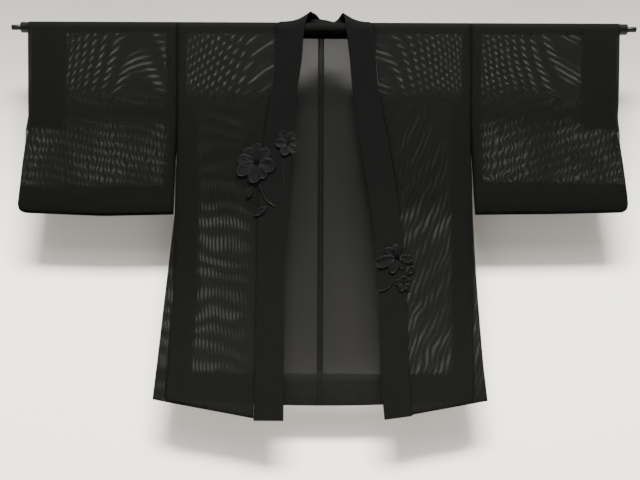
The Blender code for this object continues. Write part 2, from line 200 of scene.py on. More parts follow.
def gauze(name, beat):  # where two layers hang together their threads beat against each other
    look = gauzeLook
    paint = Paint(name)
    place = paint.place()
    spot = paint.axes(place)
    cut = paint.node("UVMap", {"uv_map": "cut"})
    weave = weaveHeight(paint, cut, look)
    wander = paint.noise(place, look["driftScale"], 1.0, beat["seed"])
    drift = paint.node("SeparateColor", None, {"Color": wander.out("Color")})
    across = spot.out("X") + (drift.out("Red") - 0.5) * (beat["drift"] * mm)
    height = spot.out("Z") + (drift.out("Green") - 0.5) * (beat["drift"] * mm)
    away = across - beat["calm"] * mm
    columns = paint.sine(away * away * beat["spread"] + height * beat["lean"])
    rows = paint.sine(height * turns(beat["rowPitch"]) + away * beat["climb"]
                      + away * away * beat["arch"])
    fainter = paint.between(drift.out("Green"), 0.3, 0.6) * 0.4 + 0.6
    dots = (columns * rows) ** 2.4 * fainter
    ripple = paint.noise(place, beat["rippleScale"], 1.5, beat["seed"] + 10.0)
    hatch = paint.sine(across * turns(beat["hatchPitch"]) + height * beat["hatchLean"]
                       + ripple * beat["ripple"])
    bands = paint.sine(height * turns(beat["bandPitch"]) + across * beat["bandClimb"]
                       + drift.out("Blue") * beat["bandWander"])
    patches = paint.between(drift.out("Red") + drift.out("Blue") * 0.5, 0.58, 0.84) * 0.75 + 0.25
    quiet = paint.between(spot.out("X"), *[edge * mm for edge in beat["quiet"]])
    bars = bands ** 1.8 * beat["barred"] + (1 - beat["barred"])
    streaks = hatch ** 1.6 * bars * patches * quiet * beat["lines"]
    upper = paint.between(spot.out("Z"), beat["change"] * mm - 0.03, beat["change"] * mm + 0.03)
    streaksAndGlint = streaks * (1 - upper)
    strength = paint.node("Attribute", {"attribute_name": "beat"}).out("Fac")
    layered = (1 - strength) * look["through"]
    seen = layered + strength * (dots * upper * beat["dots"] + streaksAndGlint * look["throughLines"]
                                + look["throughLeast"])
    alpha = 1 - paint.maths("SQRT", seen) * (1.06 - weave * 0.1)
    mottle = paint.noise(cut, 55.0, 3.0, beat["seed"])
    # painted light: the colour lightens towards the bottom between two given heights, with random mottle
    # mixed in
    faded = paint.between(spot.out("Z"), *look["paintedLightOver"]) * 0.8 + mottle * 0.3 - 0.05
    plain = paint.blend(faded, look["thread"], look["faded"])
    # painted glint: the low streaks get a lighter base colour in place of light catching the lined-up
    # threads
    colour = paint.blend(streaksAndGlint * strength, plain, look["glint"])
    bump = paint.bump(0.35, 0.0003, weave + mottle * 0.5)
    shader = paint.principled({
        "Base Color": colour, "Roughness": mottle * 0.12 + (look["roughness"] - 0.06), "Alpha": alpha,
        "Specular IOR Level": 0.02, "Sheen Weight": 0.003, "Sheen Roughness": 0.5, "Normal": bump})
    return paint.finish(shader)


collarLook = {
    "thread": (0.0015, 0.0017, 0.0016, 1.0),
    # painted light: a lighter colour that the band takes on towards the bottom, also the far end of its
    # random mottle
    "faded": (0.0044, 0.0047, 0.0044, 1.0),
    "paintedLightOver": (0.0, -0.85),
    "warpPitch": 0.9,
    "weftPitch": 1.2,
    "roughness": 0.68,
}


def collarMaterial():
    look = collarLook
    paint = Paint("collarCloth")
    height = paint.axes(paint.place()).out("Z")
    cut = paint.node("UVMap", {"uv_map": "cut"})
    weave = weaveHeight(paint, cut, look)
    mottle = paint.noise(cut, 40.0, 3.0)
    # painted light: the colour lightens towards the bottom between two given heights, with random mottle
    # mixed in
    faded = paint.between(height, *look["paintedLightOver"]) * 0.8 + mottle * 0.3 - 0.05
    bump = paint.bump(0.4, 0.0003, weave + mottle)
    shader = paint.principled({
        "Base Color": paint.blend(faded, look["thread"], look["faded"]),
        "Roughness": mottle * 0.15 + look["roughness"],
        "Specular IOR Level": 0.02, "Sheen Weight": 0.002, "Sheen Roughness": 0.5, "Normal": bump})
    return paint.finish(shader)


rodLook = {
    "enamel": (0.0026, 0.0026, 0.0027, 1.0),
    "rubbed": (0.0036, 0.0036, 0.0034, 1.0),
    "clean": (0.003, 0.003, 0.0032, 1.0),
    "roughness": (0.95, 0.5),  # where cloth slides on it, and at its clean ends
    "cleanFrom": 0.62,
    "gloss": 0.4,
}


def rodMaterial():  # black enamel, dulled in the middle and still smooth at the ends
    look = rodLook
    paint = Paint("rodEnamel")
    place = paint.place()
    grain = paint.noise(place, 60.0, 4.0)
    along = paint.maths("ABSOLUTE", paint.axes(place).out("X"))
    clean = paint.between(along, look["cleanFrom"], look["cleanFrom"] + 0.03)
    dull, smooth = look["roughness"]
    bump = paint.bump(0.15, 0.0002, grain)
    shader = paint.principled({
        "Base Color": paint.blend(clean, paint.blend(grain, look["enamel"], look["rubbed"]), look["clean"]),
        "Roughness": clean * (smooth - dull) + grain * 0.05 + dull, "Coat Weight": clean * look["gloss"],
        "Coat Roughness": 0.25, "Specular IOR Level": 0.01, "Normal": bump})
    return paint.finish(shader)


# cloth laid out from its flat cut

cloth = {
    "thickness": 0.3,
    "overRod": 13.3,  # radius of the cloth where it rides over the rod
    "inside": 0.6,  # how far inside the cloth its turned-in edges lie
    "cell": 8.0,
    "foldShares": [0.02, 0.35, 0.7, 1.0],
    "seamGap": 0.15,
    "backThins": 0.2,
}


def layCloth(name, columns, rows, place, material, keep=None):
    # place(column, row) gives a point, its u and v on the flat cut, and how strongly layers beat
    bm = bmesh.new()
    across, along = len(columns) - 1, len(rows) - 1
    bmesh.ops.create_grid(bm, x_segments=across, y_segments=along, size=1.0)
    cut = bm.loops.layers.uv.new("cut")
    beat = bm.verts.layers.float.new("beat")
    spots = {}
    flat = {}
    for vert in bm.verts:
        spots[vert] = (round((vert.co.x + 1) / 2 * across), round((vert.co.y + 1) / 2 * along))
    for vert, (column, row) in spots.items():
        point, u, v, strength = place(columns[column], rows[row])
        vert.co = Vector(point) * mm
        vert[beat] = strength
        flat[vert] = (u * mm, v * mm)
    for face in bm.faces:
        for loop in face.loops:
            loop[cut].uv = flat[loop.vert]
    if keep:
        gone = []
        for face in bm.faces:
            corners = [spots[vert] for vert in face.verts]
            if not all(keep(columns[column], rows[row]) for column, row in corners):
                gone.append(face)
        bmesh.ops.delete(bm, geom=gone, context="FACES")
    bmesh.ops.recalc_face_normals(bm, faces=bm.faces)
    piece = pieceFrom(bm, name, [material])
    addWall(piece, cloth["thickness"])
    return piece


def pieceFrom(bm, name, materials):
    mesh = bpy.data.meshes.new(name)
    bm.to_mesh(mesh)
    bm.free()
    mesh.shade_smooth()
    piece = bpy.data.objects.new(name, mesh)
    for material in materials:
        piece.data.materials.append(material)
    bpy.context.scene.collection.objects.link(piece)
    return piece


def addWall(piece, thickness):
    wall = piece.modifiers.new("wall", "SOLIDIFY")
    wall.thickness = thickness * mm
    wall.offset = 0.0
    wall.use_rim = True


# the two halves of the haori, measured out from the middle; the wearer's right lies at -X
halves = {
    "right": {
        "sign": -1,
        "side": [(0, 330, 330), (-235, 330, 330), (-320, 331, 334), (-432, 333, 337),
                 (-513, 335.6, 346.5), (-628, 338.5, 360), (-700, 346, 368), (-770, 351, 376),
                 (-858, 357, 386.5)],  # height, side seam, fold of the gusset
        "neck": [(0, 101.8, 37.5), (-20, 104.3, 40.1), (-73, 108, 44.1), (-138, 113.1, 53),
                 (-235, 127.5, 62.8), (-350, 138.5, 70.7), (-466, 145, 77.2), (-547, 146.5, 82.2),
                 (-720, 147.5, 83), (-903.8, 152.4, 83.2)],  # height, collar's seam, collar's fold
        "sleeve": [(0, 330.3, 672.9), (-207, 330.3, 672.7), (-238, 331.5, 678.5), (-320, 336.5, 689.6),
                   (-408, 339.5, 699.5), (-436, 340, 700.5)],  # height, inner edge, outer edge
        "sleeveFoot": [(337, -431), (503, -435), (700, -428)],
        "neckBack": 88,
        "hemSide": -861,
        "hemNeck": -898.5,
        "hemCollar": (-903.8, -903.8),
        "sideTurning": [(0, 20), (-150, 20), (-205, 44), (-513, 54), (-858, 57)],
        "cuffTurning": 81.3,
        "armTurning": 25,
        "footTurningTop": -367,
    },
    "left": {
        "sign": 1,
        "side": [(0, 344, 344), (-235, 344.3, 344.3), (-320, 345.6, 348.5), (-432, 347.5, 351.5),
                 (-540, 350.2, 358), (-628, 351.4, 364.8), (-690, 352.3, 370), (-770, 353.3, 377),
                 (-858, 355, 387.8)],
        "neck": [(0, 120.5, 57), (-20, 122.7, 59.2), (-70, 126, 65.2), (-137, 131.5, 71.6),
                 (-188, 141, 78.3), (-273, 156.5, 91.3), (-375, 174, 108.8), (-465, 187, 121.6),
                 (-571, 197.5, 132.9), (-700, 201, 136.1), (-800, 204.5, 139.7), (-900.4, 213, 148.4)],
        "sleeve": [(0, 344.6, 685.4), (-170, 344.6, 684.4), (-205, 344.7, 682.6), (-253, 347.2, 689.4),
                   (-321, 351, 700.2), (-382, 354.6, 708.6), (-429, 357, 713)],
        "sleeveFoot": [(357, -429), (530, -427), (713, -422.5)],
        "neckBack": 102,
        "hemSide": -862,
        "hemNeck": -888.6,
        "hemCollar": (-891.6, -900.4),
        "sideTurning": [(0, 18), (-145, 19), (-195, 42), (-513, 47), (-858, 49)],
        "cuffTurning": 81.7,
        "armTurning": 24,
        "footTurningTop": -357,
    },
}

body = {
    "neckline": -21.3,
    "sideHemLevel": -858,
    "neckHemLevel": -900,
    "firstHem": -880.0,  # a first guess at the hem's height, put right twice over
    "spans": {"length": 870, "panel": 210, "middle": 95},  # rough sizes that set how many cells there are
    "hemTurningTop": -799.0,
    "hemBack": (-873.7, -857.0, 357.0),  # in the middle, at the side, half the width
    "backSideTurning": 17.0,
    "middleTurning": 7.0,
    "creases": {
        "right": {
            "front": [(268, -360, 286, -850, 15, 1.5), (214, -430, 206, -880, 11, -1.2),
                      (312, -170, 318, -520, 9, 0.8), (176, -560, 168, -890, 9, 0.9),
                      (240, -60, 246, -300, 14, -0.7)],
            "back": [(70, -240, 58, -860, 17, 1.4), (150, -330, 160, -850, 14, -1.1),
                     (235, -420, 246, -850, 12, 1.3), (305, -280, 322, -830, 10, -0.9)],
        },
        "left": {
            "front": [(300, -300, 318, -850, 13, 1.4), (246, -470, 240, -870, 12, -1.3),
                      (222, -240, 208, -520, 10, 0.8), (330, -120, 334, -440, 8, -0.7)],
            "back": [(60, -300, 74, -860, 15, -1.2), (128, -220, 120, -850, 13, 1.2),
                     (210, -460, 224, -850, 16, -1.2), (290, -350, 300, -840, 11, 1.0)],
        },
    },
}


def frontHem(half, x):
    side = between(half["side"], body["sideHemLevel"], 1)
    neck = between(half["neck"], body["neckHemLevel"], 1)
    return mix(half["hemSide"], half["hemNeck"], (side - x) / (side - neck))


def backHem(x):
    middle, side, halfWidth = body["hemBack"]
    return mix(middle, side, (x / halfWidth) ** 2)


def bodyBeat(z):  # strongest in the lit bands under the rod and over the hem
    return max(0.97 * ease(-200, -150, z), 0.15, ease(-380, -460, z)) * ease(-12, -17, z)


def overRod(x, share, r):  # where the cloth rides over the rod
    angle = math.pi * share
    flat = cloth["overRod"] * angle - cloth["overRod"] * math.pi / 2
    return (x, -r * math.cos(angle), r * math.sin(angle)), x, flat, 0.0


def roundRows(lengths, backLengths):  # from the front's turning over the rod to the back's
    folds = cloth["foldShares"]
    rows = [("frontTurning", share) for share in reversed(folds)]
    rows += [("front", share) for share in reversed(lengths)]
    rows += [("over", share) for share in shares(math.pi * cloth["overRod"], 4.0)[1:-1]]
    rows += [("back", share) for share in backLengths]
    rows += [("backTurning", share) for share in folds]
    return rows


def backBeat(z):  # the back thins a little too where the lower fronts hang before it
    return cloth["backThins"] * ease(-200, -260, z)


def bodyHalf(side, material):
    half = halves[side]
    sign = half["sign"]
    radius = cloth["overRod"]
    quarter = radius * math.pi / 2
    creases = body["creases"][side]

    def place(column, row):
        zone, across = column
        stretch, along = row
        front = stretch in ("front", "frontTurning")
        inside = "Turning" in zone or "Turning" in stretch
        r = radius - cloth["inside"] * inside
        hem = (lambda x: frontHem(half, x)) if front else backHem
        z = 0.0 if stretch == "over" else body["firstHem"] * (1.0 if "Turning" in stretch else along)
        for again in range(2):
            sideX = between(half["side"], z, 1)
            if stretch == "over":
                edge = mix(between(half["neck"], 0, 1), half["neckBack"], along)
            else:
                edge = between(half["neck"], z, 1) if front else half["neckBack"]
            if zone == "sideTurning":
                width = between(half["sideTurning"], z, 1)
                if not front:
                    width = mix(width, body["backSideTurning"], along if stretch == "over" else 1.0)
                x = sideX - width * across
            elif zone == "panel":
                x = mix(sideX, edge, across)
            elif zone == "middle":
                x = mix(edge, cloth["seamGap"], across)
            else:
                x = mix(cloth["seamGap"], body["middleTurning"], across)
            if stretch in ("front", "back"):
                z = along * hem(x)
            elif stretch != "over":
                z = mix(hem(x), body["hemTurningTop"], along)
        facing = -1 if front else 1
        if stretch == "over":
            return overRod(sign * x, along, r)
        bulge = creaseDepth(creases["front" if front else "back"], x, z)
        y = facing * (r + bulge * ease(0, -60, z))
        if front:
            turned = sideX - between(half["sideTurning"], z, 1)
            beat = bodyBeat(z) * ease(turned, turned - 8, x)
            beat *= ease(body["hemTurningTop"], body["hemTurningTop"] + 8, z)
        else:
            beat = backBeat(z) * ease(between(half["neck"], z, 2), edge + 60, x)
        return (sign * x, y, z), sign * x, facing * (quarter - z), 0.0 if inside else beat

    cell = cloth["cell"]
    folds = cloth["foldShares"]
    spans = body["spans"]
    lengths = shares(spans["length"], cell)
    columns = [("sideTurning", share) for share in reversed(folds)]
    columns += [("panel", share) for share in shares(spans["panel"], cell)]
    columns += [("middle", share) for share in shares(spans["middle"], cell)[1:]]
    columns += [("middleTurning", share) for share in (0.1, 1.0)]
    backLengths = sorted(lengths + [body["neckline"] / body["hemBack"][0]])
    rows = roundRows(lengths, backLengths)

    def keep(column, row):
        zone, across = column
        stretch, along = row
        if zone in ("middle", "middleTurning"):
            below = stretch == "back" and along * body["hemBack"][0] < body["neckline"] + 0.1
            return below or (stretch == "backTurning" and zone == "middle")
        if zone == "sideTurning":
            return "Turning" not in stretch
        return True

    return layCloth("body" + side.capitalize(), columns, rows, place, material, keep)


sleeveCut = {
    "cuffEnd": -238.0,
    "corner": 20.0,
    "bottomDepth": 4.0,  # half the gap between front and back at the foot
    "seamDepth": 1.0,
    "edgeDepth": 0.25,
    "spans": {"length": 430, "panel": 345},
    "creases": {
        "right": {
            "front": [(680, -372, 520, -392, 7, 1.3), (560, -60, 600, -330, 16, 0.9),
                      (410, -120, 396, -400, 12, -0.8), (640, -250, 668, -400, 9, -0.9),
                      (470, -250, 452, -420, 10, 0.8)],
            "back": [(600, -100, 630, -400, 14, 1.0), (500, -200, 488, -420, 11, -0.9),
                     (400, -90, 410, -380, 12, 0.8), (660, -370, 540, -398, 8, 1.0)],
        },
        "left": {
            "front": [(640, -90, 655, -380, 13, 0.9), (520, -140, 540, -400, 12, -0.9),
                      (430, -230, 415, -410, 10, 0.9), (690, -378, 600, -388, 7, 0.9)],
            "back": [(570, -80, 560, -400, 15, 0.9), (450, -160, 470, -410, 12, -0.8),
                     (660, -240, 680, -400, 9, 0.8), (400, -374, 500, -390, 8, 0.8)],
        },
    },
}


def sleeveBeat(z):
    return max(0.97 * ease(-200, -150, z), ease(-190, -250, z)) * ease(-12, -17, z)


def sleeve(side, material):
    half = halves[side]
    sign = half["sign"]
    radius = cloth["overRod"]
    quarter = radius * math.pi / 2
    corner = sleeveCut["corner"]
    cuffEnd = sleeveCut["cuffEnd"]
    lowest = min(z for x, z in half["sleeveFoot"])
    cuffShare = cuffEnd / (half["sleeveFoot"][-1][1] + corner)
    foot = [(-x, z) for x, z in half["sleeveFoot"]]
    creases = sleeveCut["creases"][side]

    def bottom(x, outer):
        past = max(0.0, min(corner, x - (outer - corner)))
        return between(foot, -x, 1) + corner - math.sqrt(corner ** 2 - past ** 2)

    def halfDepth(x, z, outer, bottomZ):
        depth = mix(radius, sleeveCut["bottomDepth"], min(1.0, max(0.0, z / lowest)) ** 1.15)
        depth = mix(depth, sleeveCut["seamDepth"], ease(bottomZ + 22, bottomZ, z))
        closing = ease(outer - 26, outer, x) * ease(cuffEnd, cuffEnd - 30, z)
        return mix(depth, min(depth, sleeveCut["edgeDepth"]), closing)

    def place(column, row):
        zone, across = column
        stretch, along = row
        inside = "Turning" in zone or "Turning" in stretch
        front = stretch in ("front", "frontTurning")
        z = 0.0 if stretch == "over" else lowest * (1.0 if "Turning" in stretch else along)
        for again in range(3):
            inner = between(half["sleeve"], z, 1)
            outer = between(half["sleeve"], z, 2)
            if zone == "armTurning":
                x = inner + half["armTurning"] * across
            elif zone == "panel":
                x = mix(inner, outer, across)
            else:
                x = outer - half["cuffTurning"] * across
            bottomZ = bottom(outer if zone == "cuffTurning" else x, outer)
            if stretch in ("front", "back"):
                z = along * bottomZ
            elif stretch != "over":
                z = mix(bottomZ, half["footTurningTop"], along)
        if stretch == "over":
            return overRod(sign * x, along, radius - cloth["inside"] * inside)
        facing = -1 if front else 1
        depth = halfDepth(x, z, outer, bottomZ)
        bulge = creaseDepth(creases["front" if front else "back"], x, z)
        depth += bulge * ease(0, -60, z) * ease(bottomZ, bottomZ + 20, z) * ease(outer, outer - 30, x)
        depth = max(depth - cloth["inside"] * inside, min(depth, 0.3))
        beat = sleeveBeat(z) if front else backBeat(z)
        beat *= max(ease(cuffEnd, cuffEnd + 8, z), ease(outer - 4, outer - 16, x))
        if front:
            turned = outer - half["cuffTurning"]
            beat *= max(ease(cuffEnd + 8, cuffEnd, z), ease(turned, turned - 8, x))
            beat *= ease(half["footTurningTop"], half["footTurningTop"] + 8, z)
            beat *= ease(inner + half["armTurning"] - 4, inner + half["armTurning"] + 4, x)
        return (sign * x, facing * depth, z), sign * x, facing * (quarter - z), 0.0 if inside else beat

    cell = cloth["cell"]
    folds = cloth["foldShares"]
    spans = sleeveCut["spans"]
    lengths = sorted(shares(spans["length"], cell) + [cuffShare])
    columns = [("armTurning", share) for share in reversed(folds)]
    columns += [("panel", share) for share in shares(spans["panel"], cell)[:-1] + [0.985, 0.993, 1.0]]
    columns += [("cuffTurning", share) for share in folds]
    rows = roundRows(lengths, lengths)

    def keep(column, row):
        zone, across = column
        stretch, along = row
        if zone == "armTurning":
            return "Turning" not in stretch
        if zone == "cuffTurning":
            return stretch == "over" or ("Turning" not in stretch and along < cuffShare + 0.001)
        return True

    return layCloth("sleeve" + side.capitalize(), columns, rows, place, material, keep)


gussetCut = {"top": -320.0, "turningTop": -787.0, "seamGap": 0.3}


def gusset(side, material):
    half = halves[side]
    sign = half["sign"]
    radius = cloth["overRod"]
    backSide = body["hemBack"][1]
    foldDrop = 3.0

    def place(column, row):
        zone, across = column
        stretch, along = row
        inside = stretch == "turning"
        swing = 2 * across - 1  # -1 at the front seam, 0 at the fold, 1 at the back seam
        hem = mix(mix(half["hemSide"], backSide, across), half["hemSide"] + foldDrop, 1 - abs(swing))
        if inside:
            z = mix(hem, gussetCut["turningTop"], along)
        else:
            z = mix(gussetCut["top"], hem, along)
        seam = between(half["side"], z, 1) + gussetCut["seamGap"]
        fold = between(half["side"], z, 2) - cloth["inside"] * inside
        x = seam + (fold - seam) * (1 - abs(swing) ** 1.25)
        y = (radius - cloth["inside"] * inside) * swing
        beat = 0.0 if inside or swing > 0 else 0.85 * ease(-380, -460, z)
        return (sign * x, y, z), sign * (x + 10 * across), z, beat

    columns = [("panel", share) for share in shares(40, 4.0)]
    rows = [("length", share) for share in shares(540, cloth["cell"])]
    rows += [("turning", share) for share in cloth["foldShares"]]
    return layCloth("gusset" + side.capitalize(), columns, rows, place, material)


# the collar band, its folded layers built as one wall

collar = {
    "thickness": 2.2,
    "radius": 14.2,
    "bevel": 0.9,
    "acrossCells": 10,
    "seamClearance": 1.2,
    "cell": 6.0,
    "width": 65.0,
    # round the neck, wearer's right to left: which half and share of the way over the rod, or x on the
    # back; a point that the width bends towards; its folded edge
    "roundNeck": [
        ("right", 0, (-69.5, -14.2, 0), (-37.5, -14.2, 0)),
        ("right", 0.25, (-66, -11, 11), (-35.5, -13.6, 11)),
        ("right", 0.50, (-54, -3, 15), (-30.5, -9, 27)),
        ("right", 0.75, (-48, 6, 20), (-24.5, -1, 38.5)),
        ("right", 1.00, (-42, 15, 29), (-20, 9, 38.5)),
        ("back", -86, (-32, 17, 36), (-11, 18, 35.5)),
        ("back", -52, (-17, 18, 48), (-4, 30, 28)),
        ("back", -22, (-2, 19, 50), (6, 42, 17)),
        ("back", 6, (10, 19, 50), (15, 46, 13)),
        ("back", 34, (25, 19, 43), (25, 44, 11)),
        ("back", 66, (36, 18, 36), (34, 34, 22)),
        ("back", 100, (52, 16, 31), (42, 22, 31)),
        ("left", 1.00, (62, 14, 26), (47, 9, 36)),
        ("left", 0.75, (70, 6, 23), (51, -1, 35)),
        ("left", 0.50, (78, -3, 15.2), (53.5, -9, 25)),
        ("left", 0.25, (86, -11, 11), (55.5, -13.6, 11)),
        ("left", 0, (88.5, -14.2, 0), (57, -14.2, 0)),
    ],
}


def collarOnFront(half):  # seam, bend and edge points from the lower end up to the rod
    sections = []
    for index, (height, outer, inner) in enumerate(reversed(half["neck"][1:])):
        zOuter, zInner = half["hemCollar"] if index == 0 else (height, height)
        seam = Vector((half["sign"] * (outer - 0.3), -collar["radius"], zOuter))
        edge = Vector((half["sign"] * inner, -collar["radius"], zInner))
        sections.append((seam, seam.lerp(edge, 0.5), edge))
    return sections


def collarRoundNeck():
    sections = []
    for where, share, bend, edge in collar["roundNeck"]:
        if where == "back":
            seam = Vector((share, collar["radius"], body["neckline"] + 0.6))
        else:
            half = halves[where]
            angle = math.pi * share
            x = mix(between(half["neck"], 0, 1), half["neckBack"], share) - collar["seamClearance"]
            seam = Vector((half["sign"] * x, -collar["radius"] * math.cos(angle),
                           collar["radius"] * math.sin(angle)))
        sections.append((seam, Vector(bend), Vector(edge)))
    return sections


def alongCurve(before, start, end, after, share):  # a curve from start to end that suits its neighbours
    first = max((start - before).length, 1e-6)
    middle = max((end - start).length, 1e-6)
    last = max((after - end).length, 1e-6)
    leave = ((start - before) / first * middle + (end - start) / middle * first) / (first + middle) * middle
    arrive = ((end - start) / middle * last + (after - end) / last * middle) / (middle + last) * middle
    square, cube = share ** 2, share ** 3
    return (start * (2 * cube - 3 * square + 1) + leave * (cube - 2 * square + share)
            + end * (3 * square - 2 * cube) + arrive * (cube - square))


def makeCollar(material):
    sections = collarOnFront(halves["right"]) + collarRoundNeck() + collarOnFront(halves["left"])[::-1]
    padded = [sections[0]] + sections + [sections[-1]]
    rows = []
    length = 0.0
    for before, start, end, after in zip(padded, padded[1:], padded[2:], padded[3:]):
        gap = max((end[part] - start[part]).length for part in range(3))
        steps = max(1, round(gap / collar["cell"]))
        for step in range(steps):
            points = [alongCurve(before[part], start[part], end[part], after[part], step / steps)
                      for part in range(3)]
            rows.append((points, length + gap * step / steps))
        length += gap
    rows.append((list(sections[-1]), length))

    def place(column, row):
        (seam, bend, edge), along = row
        point = seam.lerp(bend, column).lerp(bend.lerp(edge, column), column)
        return point, column * collar["width"], along, 0.0

    columns = shares(collar["acrossCells"], 1)
    piece = layCloth("collarBand", columns, rows, place, material)
    piece.modifiers["wall"].thickness = collar["thickness"] * mm
    rounding = piece.modifiers.new("rounding", "BEVEL")
    rounding.width = collar["bevel"] * mm
    rounding.segments = 3
    rounding.limit_method = "ANGLE"
    rounding.angle_limit = math.radians(50)
    return piece


# small hand stitches, along the top of the hem turnings and along the collar's seam

stitches = {
    "pitch": 11.0,
    "reach": (1.1, 0.32, 0.32),
    "off": 0.35,
    "besideSeam": 1.6,
    "downCollar": (-12, -885, -12),  # heights of the seam's points
}


def sewLine(bm, points):  # one stitch at each step of the pitch
    carried = 0.0
    for start, end in zip(points, points[1:]):
        run = end - start
        while carried < run.length:
            turn = run.to_track_quat("X", "Y").to_matrix().to_4x4()
            spot = Matrix.Translation((start + run.normalized() * carried) * mm)
            placing = spot @ turn @ Matrix.Diagonal((*stitches["reach"], 1))
            bmesh.ops.create_icosphere(bm, subdivisions=1, radius=mm, matrix=placing)
            carried += stitches["pitch"]
        carried -= run.length


def sewHalf(side, material):
    half = halves[side]
    sign = half["sign"]
    bm = bmesh.new()
    top = body["hemTurningTop"]
    for facing, stretch, inner in ((-1, "front", between(half["neck"], top, 1)), (1, "back", 2.0)):
        points = []
        for share in shares(300, 12.0)[1:-1]:
            x = mix(between(half["side"], top, 1), inner, share)
            depth = cloth["overRod"] + creaseDepth(body["creases"][side][stretch], x, top) + stitches["off"]
            points.append(Vector((sign * x, facing * depth, top)))
        sewLine(bm, points)
    collarFace = -collar["radius"] - collar["thickness"] / 2
    seam = [Vector((sign * (between(half["neck"], z, 1) - stitches["besideSeam"]), collarFace, z))
            for z in range(*stitches["downCollar"])]
    sewLine(bm, seam)
    return pieceFrom(bm, "stitches" + side.capitalize(), [material])


# sewn-on flowers, leaves and stems: sheer petals edged with cord, and twisted cord stems

trimLook = {
    "petalShades": ((0.0022, 0.0026, 0.0024, 1.0), (0.0036, 0.0041, 0.0038, 1.0)),
    "petalCover": 0.52,
    "cordShades": ((0.002, 0.0022, 0.002, 1.0), (0.0036, 0.0038, 0.0036, 1.0)),
    "bossShades": ((0.0011, 0.0012, 0.0011, 1.0), (0.0024, 0.0026, 0.0024, 1.0)),
    "cordRoughness": 0.3,
    "cordShine": 0.14,
    "rise": 0.34,
    "cupping": 0.2,
    "widest": 0.62,  # share of a petal's length
}
trimSizes = {
    "back": 16.0,  # in front of the rod's axis
    "rim": 0.72,
    "rib": 0.45,
    "strand": 0.75,
    "strandTurn": 6.0,
    "petalCells": (14, 8),
    "petalThickness": 0.25,
    "bossReach": 5.2,
    "bossKnots": 9,
    "bossOut": 1.9,
    "bossShares": (0.62, 0.3, 0.82, 0.45),  # dome, knot, ring and how far they stand out
}

# middle x and z; then for each petal its direction in degrees, length, width, rise and cupping
flowers = {
    "flower_large_right": (-147, -311, [
        (-14, 45, 31, 7, 5), (-62, 41, 23, 4, 4), (-100, 47, 30, 8, 5), (-151, 52, 27, 6, 6),
        (171, 44, 25, 5, 4), (131, 40, 27, 4, 4), (88, 42, 24, 6, 4), (47, 40, 25, 5, 5)]),
    "flower_small_right": (-75, -268, [
        (12, 22, 17, 8, 3), (-48, 25, 18, 6, 4), (-112, 28, 19, 5, 3), (178, 29, 19, 6, 4),
        (121, 30, 20, 4, 3), (68, 27, 17, 7, 4)]),
    "flower_large_left": (176, -528, [
        (-6, 35, 16, 7, 4), (46, 30, 17, 5, 4), (98, 29, 18, 4, 3), (143, 33, 18, 6, 4),
        (196, 54, 25, 8, 5), (-112, 37, 20, 6, 4), (-58, 30, 18, 4, 3)]),
    "flower_small_left": (192, -588, [
        (25, 18, 13, 3, 2), (96, 17, 13, 3, 2), (170, 19, 14, 4, 2), (-118, 18, 13, 2, 2),
        (-46, 19, 13, 3, 2)]),
}
# middle x and z, length, width, direction in degrees
leaves = {
    "leaf_upper_right": (-163, -381, 32, 13, 63),
    "leaf_lower_right": (-139, -424, 36, 14, 34),
    "leaf_left": (207, -557, 24, 11, 52),
}
stems = {
    "stem_large_right": [(-141, -362), (-133, -384), (-120, -402), (-104, -412)],
    "stem_small_right": [(-80, -305), (-86, -328), (-84, -352), (-78, -378)],
    "stem_left": [(172, -568), (165, -586), (153, -600), (134, -606)],
}


def petalMaterial():
    look = trimLook
    paint = Paint("petalOrganza")
    place = paint.place()
    spot = paint.axes(place)
    warp = paint.sine(spot.out("X") * turns(0.8) + spot.out("Z") * 900.0)
    weft = paint.sine(spot.out("Z") * turns(0.8) - spot.out("X") * 900.0)
    mottle = paint.noise(place, 140.0, 3.0)
    bump = paint.bump(0.5, 0.0003, warp * weft + mottle)
    shader = paint.principled({
        "Base Color": paint.blend(mottle, *look["petalShades"]), "Roughness": mottle * 0.15 + 0.5,
        "Alpha": warp * weft * 0.12 + look["petalCover"], "Specular IOR Level": 0.06, "Normal": bump})
    return paint.finish(shader)


def cordMaterial(name, shades, shine):  # satin cord or thread, its plies laid round it
    look = trimLook
    paint = Paint(name)
    place = paint.place()
    spot = paint.axes(place)
    plies = paint.sine((spot.out("X") + spot.out("Y") + spot.out("Z")) * turns(1.1))
    wear = paint.noise(place, 90.0, 3.0)
    bump = paint.bump(0.5, 0.0002, plies + wear * 0.5)
    shader = paint.principled({
        "Base Color": paint.blend(wear, *look[shades]), "Specular IOR Level": shine,
        "Roughness": wear * 0.12 + look["cordRoughness"], "Normal": bump})
    return paint.finish(shader)


def petalWidth(share, width, pointed):  # half the width at a share of the length
    widest = trimLook["widest"]
    if pointed:
        swell = max(0.0, math.sin(math.pi * share)) ** 1.1
    elif share < widest:
        swell = math.sin(math.pi / 2 * share / widest)
    else:
        swell = math.sqrt(max(0.0, 1 - ((share - widest) / (1 - widest)) ** 2))
    return width / 2 * max(0.16 * (1 - share), swell)


def petalPoint(petal, share, side):
    x, z, direction, length, width, rise, cup, pointed = petal
    angle = math.radians(direction)
    along = Vector((math.cos(angle), 0, math.sin(angle)))
    across = Vector((-along.z, 0, along.x))
    half = petalWidth(share, width, pointed)
    frill = 0.9 * math.sin(7 * share + direction) * side ** 2 * share
    cupped = cup * trimLook["cupping"] * side ** 2 * math.sin(math.pi * share) ** 0.8
    out = rise * trimLook["rise"] * math.sin(1.9 * share) + cupped + frill
    out -= 0.8 * math.exp(-(side / 0.28) ** 2) * math.sin(math.pi * share)
    return (Vector((x, -trimSizes["back"] - 0.7 - max(0.0, out), z)) + along * (share * length)
            + across * (half * side))


